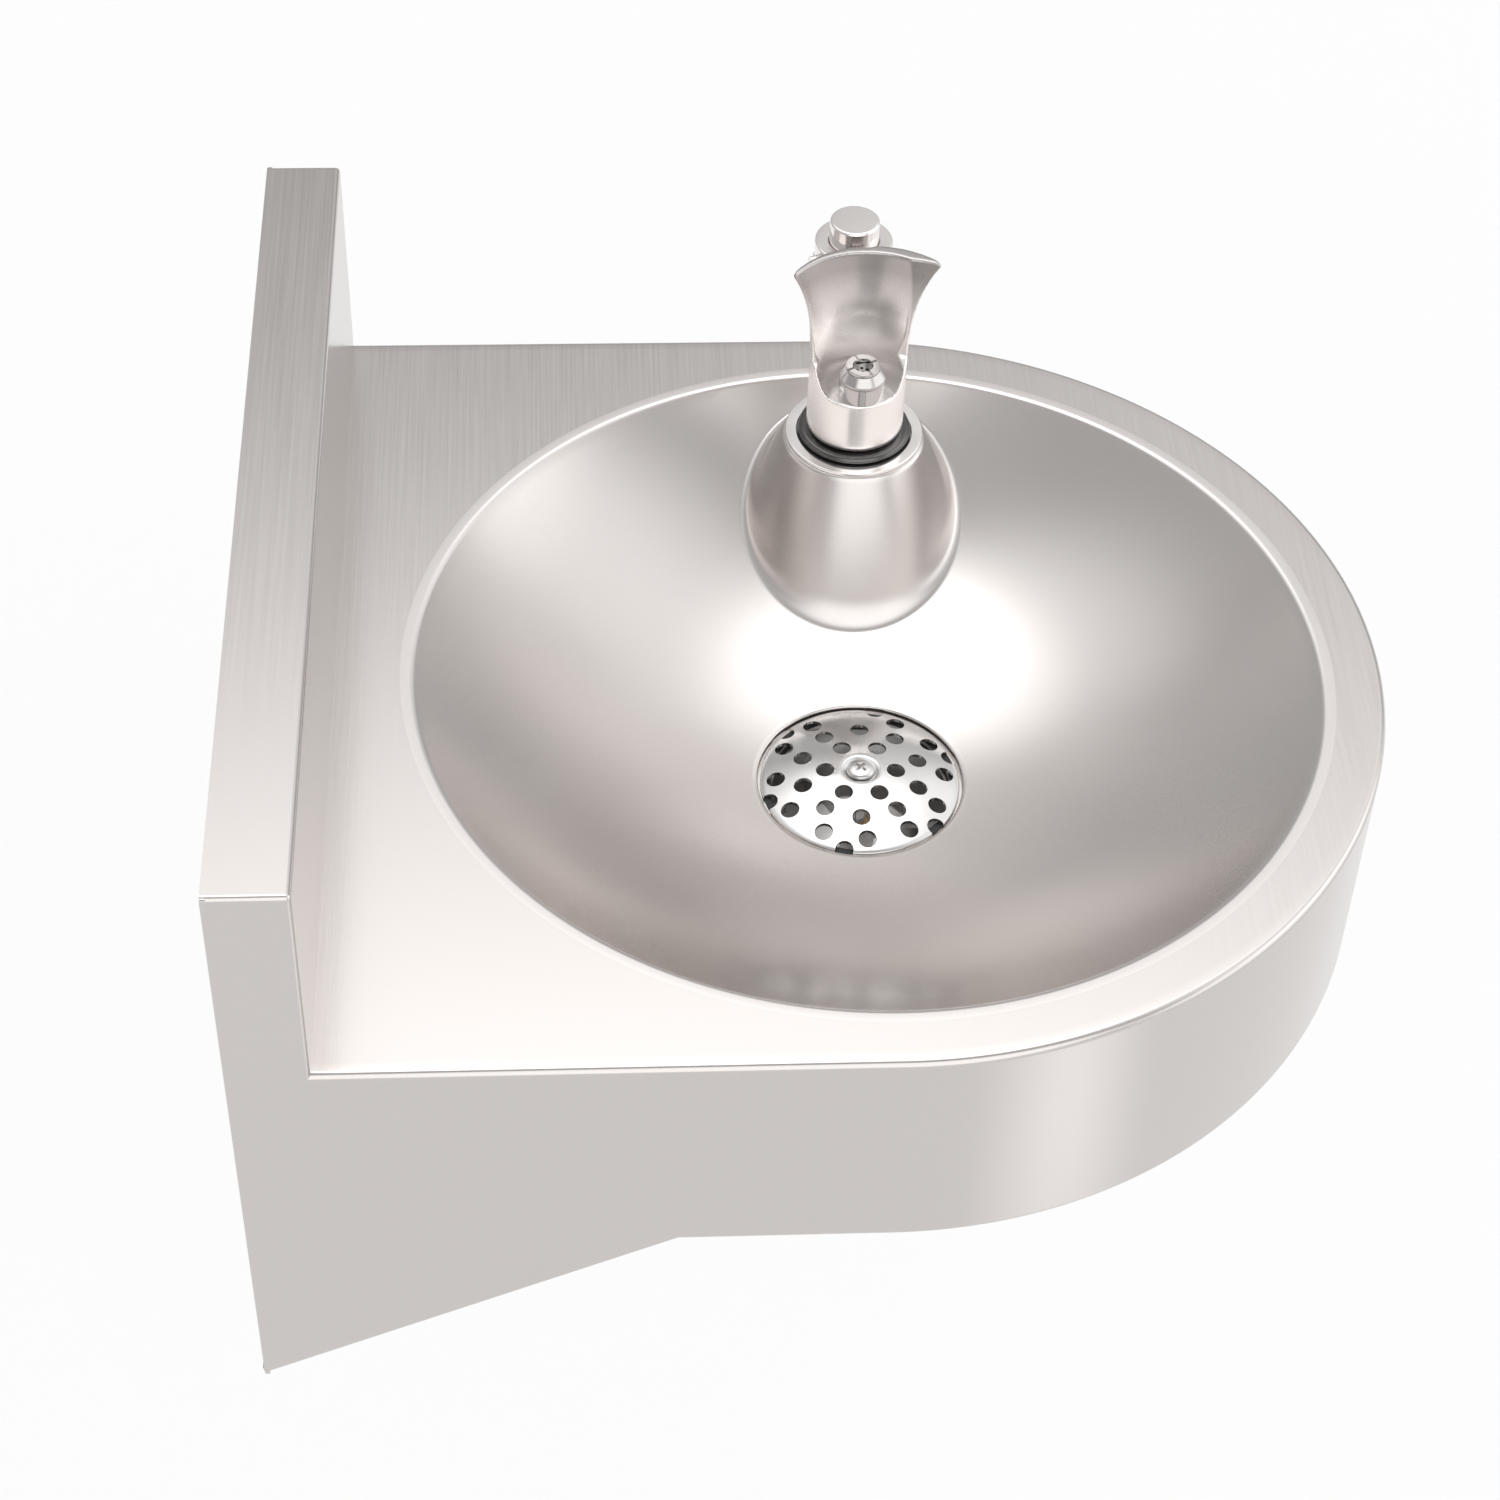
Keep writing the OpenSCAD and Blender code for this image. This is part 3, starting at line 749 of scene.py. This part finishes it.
def trough():
    """Round pocket that opens upwards into a wider trough in the guard's face."""
    bm = bmesh.new()
    rings = [(19 - 9 * (1 - math.sin(a)), 48 - 22 * math.cos(a), 0)
             for a in [k * math.pi / 40 for k in range(21)]]
    rings += [(19 + 10.2 * k / 6, 48 + 28 * k / 6, k / 6) for k in range(1, 7)]
    rings.append((29.2, 79, 1))
    loops = []
    for radius, z, share in rings:
        spot = Matrix.Translation((-14 - 13 * share, 0.6 + 1.7 * share, z))
        made = bmesh.ops.create_circle(bm, segments=200, radius=radius, matrix=spot)["verts"]
        loops.append(list({e for v in made for e in v.link_edges}))
    for low, high in zip(loops, loops[1:]):
        bmesh.ops.bridge_loops(bm, edges=low + high)
    for loop in (loops[0], loops[-1]):
        bmesh.ops.contextual_create(bm, geom=loop)
    bmesh.ops.recalc_face_normals(bm, faces=bm.faces)
    return bm


def mouth():
    """Everything in front of the guard's face and above its sloping lower lip."""
    front = shape(rod(mouth_r, 20, 110, 240, Matrix.Translation((mouth_x, 0, 0))))
    below = block((-120, -60, -100), (120, 60, 0))
    below.transform(Matrix.Translation((-body_r, 0, 26.5))
                    @ Matrix.Rotation(math.radians(-35), 4, "Y"))
    return joined(front, below, "DIFFERENCE")


def casting():
    """The body with its flared guard, from turned shapes cut by each other."""
    foot = [(0, 5.2), (body_r - foot_round, 5.2)]
    foot += [(body_r - foot_round * (1 - math.sin(a)), 5.2 + foot_round * (1 - math.cos(a)))
             for a in [k * math.pi / 12 for k in range(1, 7)]]
    body = shape(turned(foot + [(body_r, body_top), (0, body_top)], 128, closed=False))
    flare_profile = [(0, guard_top - guard_rise)]
    for k in range(31):
        t = k / 30
        flare_profile.append((body_r + 0.6 * t + 8.9 * t ** 2.6,
                              guard_top - guard_rise * (1 - t)))
    blade = shape(turned(flare_profile + [(0, guard_top)], 160, closed=False))
    joined(blade, rod(blade_r, 30, 80, 180, Matrix.Translation((blade_x, 0, 0))), "INTERSECT")
    # the guard's two tips are cut blunt
    blunt = bmesh.new()
    for x in (-40, 40):
        for y, z in ((24.5, 30), (24.5, 74.9), (23.3, 76.1)):
            blunt.verts.new((x, y, z))
            blunt.verts.new((x, -y, z))
    bmesh.ops.convex_hull(blunt, input=blunt.verts)
    joined(blade, blunt, "INTERSECT")
    joined(body, blade, "UNION")
    joined(body, rod(pad_r, 30, body_top, 96, Matrix.Translation((valve_x, 0, 0))), "UNION")
    # a web between the body and the pad under the valve
    web = bmesh.new()
    for x, r, low in ((0, pad_r, 18), (valve_x - 2, 11.5, 32)):
        for z in (low, body_top):
            bmesh.ops.create_circle(web, segments=64, radius=r,
                                    matrix=Matrix.Translation((x, 0, z)))
    hull = bmesh.ops.convex_hull(web, input=web.verts)
    bmesh.ops.delete(web, geom=[g for g in hull["geom_interior"] + hull["geom_unused"]
                                if isinstance(g, bmesh.types.BMVert)], context="VERTS")
    joined(body, web, "UNION")
    joined(body, trough(), "DIFFERENCE")
    joined(body, mouth(), "DIFFERENCE")
    joined(body, rod(bore_r, body_top, 77, 96, Matrix.Translation((valve_x, 0, 0))),
           "DIFFERENCE")
    joined(body, rod(7.9, 26, 30, 64, Matrix.Translation((nozzle_x, 0, 0))), "DIFFERENCE")
    # soft cast edges
    remesh = body.modifiers.new("cast", "REMESH")
    remesh.mode, remesh.voxel_size, remesh.use_smooth_shade = "VOXEL", 0.42, True
    relax = body.modifiers.new("relax", "SMOOTH")
    relax.factor, relax.iterations = 0.5, 8
    return settle(body)


piece("guard_casting", casting(), [chrome_body], ["bubbler_body"],
      place=BUBBLER_AT, angle=180, even=False)


# ---------------------------------------------------------------- nozzle
def nozzle():
    """Round body with a groove and a conical top."""
    return soften(turned([(0, 24), (7.8, 24), (7.8, 32.2), (7.35, 32.3), (7.35, 32.7),
                          (7.8, 32.8), (7.8, 33.5), (5.9, 36.3), (4.2, 36.3), (4.2, 31),
                          (0, 31)], 128, closed=False), 0.15, 2, 20)


def crown():
    """Ring with two crossing slots."""
    obj = shape(soften(turned([(3.4, 31), (4.2, 31), (4.2, 36.3), (5.7, 36.3), (5.7, 37.6),
                               (3.4, 37.6)], 96), 0.25, 3, 40))
    for a in (20, 110):
        arm = block((-6, -0.5, 36.9), (6, 0.5, 39))
        arm.transform(Matrix.Rotation(math.radians(a), 4, "Z"))
        joined(obj, arm, "DIFFERENCE")
    return obj


def screen():
    """Disc with one hole in the middle and six round it."""
    disc = shape(rod(3.4, 34, 34.6, 64))
    holes = bmesh.new()
    for x, y in [(0, 0)] + [(2 * math.cos(k * math.pi / 3), 2 * math.sin(k * math.pi / 3))
                            for k in range(6)]:
        bmesh.ops.create_cone(holes, cap_ends=True, segments=20, radius1=0.6, radius2=0.6,
                              depth=4, matrix=Matrix.Translation((x, y, 34)))
    return joined(disc, holes, "DIFFERENCE")


piece("nozzle_turned", nozzle(), [chrome_nozzle], ["nozzle_body"],
      place=NOZZLE_AT)
piece("nozzle_slotted_crown", crown(), [chrome_nozzle], ["nozzle_crown"],
      place=NOZZLE_AT)
piece("nozzle_disc", screen(), [steel_plain], ["nozzle_screen"],
      place=NOZZLE_AT)


# ---------------------------------------------------------------- valve and push button
def collar():
    """The bonnet that guides the button, with a spanner notch."""
    obj = shape(soften(turned([(8.35, 56), (10.5, 56), (10.5, 62), (13, 62), (13, 69.5),
                               (8.35, 69.5)], 128), 0.6, 4, 40))
    return joined(obj, block((-14, -1.5, 66.5), (-11, 1.5, 68.5)), "DIFFERENCE")


def button():
    """A hollow cap with a rounded top edge."""
    return soften(turned([(6.8, 60), (8.3, 60), (8.3, 77.5), (0, 77.5), (0, 70), (6.8, 70)],
                         128, closed=False), 0.9, 5, 40)


piece("bonnet_collar", collar(), [chrome], ["valve_bonnet"], place=VALVE_AT)
piece("button_cap", button(), [chrome], ["push_button"], place=VALVE_AT,
      body="button")

spring_low, spring_high, wire_r, coil_r, coils = 56, 70, 0.55, 5.4, 5
around_coil, around_wire = 32, 12


def spring():
    """Round wire wound up a helix, with its end coils closed."""
    bm = bmesh.new()
    rings = []
    for i in range(coils * around_coil + 1):
        t = i / around_coil
        climb = min(1, max(0, (t - 0.6) / (coils - 1.2)))
        middle_z = spring_low + wire_r + (spring_high - spring_low - 2 * wire_r) * climb
        turn_to = Matrix.Rotation(TURN * t, 4, "Z")
        rings.append([bm.verts.new(turn_to @ Vector((
            coil_r + wire_r * math.cos(a), 0, middle_z + wire_r * math.sin(a)
        ))) for a in [TURN * k / around_wire for k in range(around_wire)]])
    for low, high in zip(rings, rings[1:]):
        for k in range(around_wire):
            after = (k + 1) % around_wire
            bm.faces.new((low[k], low[after], high[after], high[k]))
    bm.faces.new(reversed(rings[0]))
    bm.faces.new(rings[-1])
    bmesh.ops.recalc_face_normals(bm, faces=bm.faces)
    return bm


coil = piece("wound_spring", spring(), [spring_steel], ["return_spring"],
             place=VALVE_AT, even=False)
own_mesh(coil)


# ---------------------------------------------------------------- pieces kept from the CAD
KEPT = {
    steel_plain: ("hanger_bracket", "valve_stem"),
    chrome: ("bonnet_lock_screw",),
    brass: ("waste_insert", "valve_seat", "valve_piston"),
    rubber: ("strainer_seal", "shank_oring", "nozzle_oring", "bonnet_oring", "stem_oring",
             "seat_washer"),
}
for finish, names in KEPT.items():
    for name in names:
        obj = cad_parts[name]
        obj.data.materials.clear()
        obj.data.materials.append(finish)


# ---------------------------------------------------------------- floor and light
def pale_floor():
    """A plain floor that glows a little, with a brighter patch that the steel reflects."""
    floor_z, half_size = -0.9, 9
    patch_at, patch_r, patch_edge = (-0.66, -0.78, 0), 0.03, 0.3
    patch_glow, floor_glow = 0.68, 0.19
    bm = bmesh.new()
    bmesh.ops.create_grid(bm, x_segments=1, y_segments=1, size=half_size)
    bmesh.ops.translate(bm, vec=(0, 0, floor_z), verts=bm.verts)
    mesh = bpy.data.meshes.new("pale_floor")
    bm.to_mesh(mesh)
    bm.free()
    floor = bpy.data.objects.new("pale_floor", mesh)
    bpy.context.scene.collection.objects.link(floor)
    finish = Finish("pale_floor", (0.69, 0.69, 0.69), 0.0, 0.9)
    place = finish.node("ShaderNodeTexCoord")
    split = finish.node("ShaderNodeSeparateXYZ")
    finish.link(place.outputs["Object"], split.inputs["Vector"])
    near = finish.node("ShaderNodeVectorMath", operation="DISTANCE")
    near.inputs[1].default_value = patch_at
    flat = finish.node("ShaderNodeCombineXYZ")
    finish.link(split.outputs["X"], flat.inputs["X"])
    finish.link(split.outputs["Y"], flat.inputs["Y"])
    finish.link(flat.outputs["Vector"], near.inputs[0])
    spot = finish.spread(near.outputs["Value"], patch_glow, floor_glow, patch_r, patch_edge)
    finish.shader.inputs["Emission Color"].default_value = (1, 1, 1, 1)
    finish.link(spot, finish.shader.inputs["Emission Strength"])
    floor.data.materials.append(finish.material)


def studio_light():
    """An even dome of light with a few soft-edged round panels."""
    world = bpy.data.worlds.new("studio")
    bpy.context.scene.world = world
    world.use_nodes = True
    tree = world.node_tree
    place = tree.nodes.new("ShaderNodeTexCoord")
    total = None

    def maths(operation, a, b):
        """A maths node whose inputs are sockets or numbers."""
        node = tree.nodes.new("ShaderNodeMath")
        node.operation = operation
        for socket, value in zip(node.inputs, (a, b)):
            if isinstance(value, (int, float)):
                socket.default_value = value
            else:
                tree.links.new(value, socket)
        return node.outputs[0]

    for azimuth, height, reach, edge, strength in PANELS:
        a, e = math.radians(azimuth), math.radians(height)
        toward = (math.cos(e) * math.cos(a), math.cos(e) * math.sin(a), math.sin(e))
        dot = tree.nodes.new("ShaderNodeVectorMath")
        dot.operation = "DOT_PRODUCT"
        dot.inputs[1].default_value = toward
        tree.links.new(place.outputs["Generated"], dot.inputs[0])
        panel = tree.nodes.new("ShaderNodeMapRange")
        panel.interpolation_type = "SMOOTHSTEP"
        for socket, value in (("From Min", math.cos(math.radians(reach + edge))),
                              ("From Max", math.cos(math.radians(reach))),
                              ("To Min", 0), ("To Max", strength)):
            panel.inputs[socket].default_value = value
        tree.links.new(dot.outputs["Value"], panel.inputs["Value"])
        glow = panel.outputs["Result"]
        total = glow if total is None else maths("ADD", total, glow)
    total = maths("ADD", total, AMBIENT)
    tree.links.new(total, tree.nodes["Background"].inputs["Strength"])
    tree.nodes["Background"].inputs["Color"].default_value = (1, 1, 1, 1)


AMBIENT = 0.54
PANELS = [
    # azimuth from +X towards +Y, elevation, reach of full light, soft edge, strength
    (0, 68, 17, 11, 0.78),
    (0, 74, 5, 17, 1.1),
    (-68, 44, 5, 34, 0.72),
    (32, 63.5, 17, 15, 0.5),
    (-24, 43, 3, 18, 0.3),
    (-172, 25, 24, 20, 1.1),
    (-95, 3, 22, 22, 1.05),
]
pale_floor()
studio_light()

bpy.context.view_layer.update()
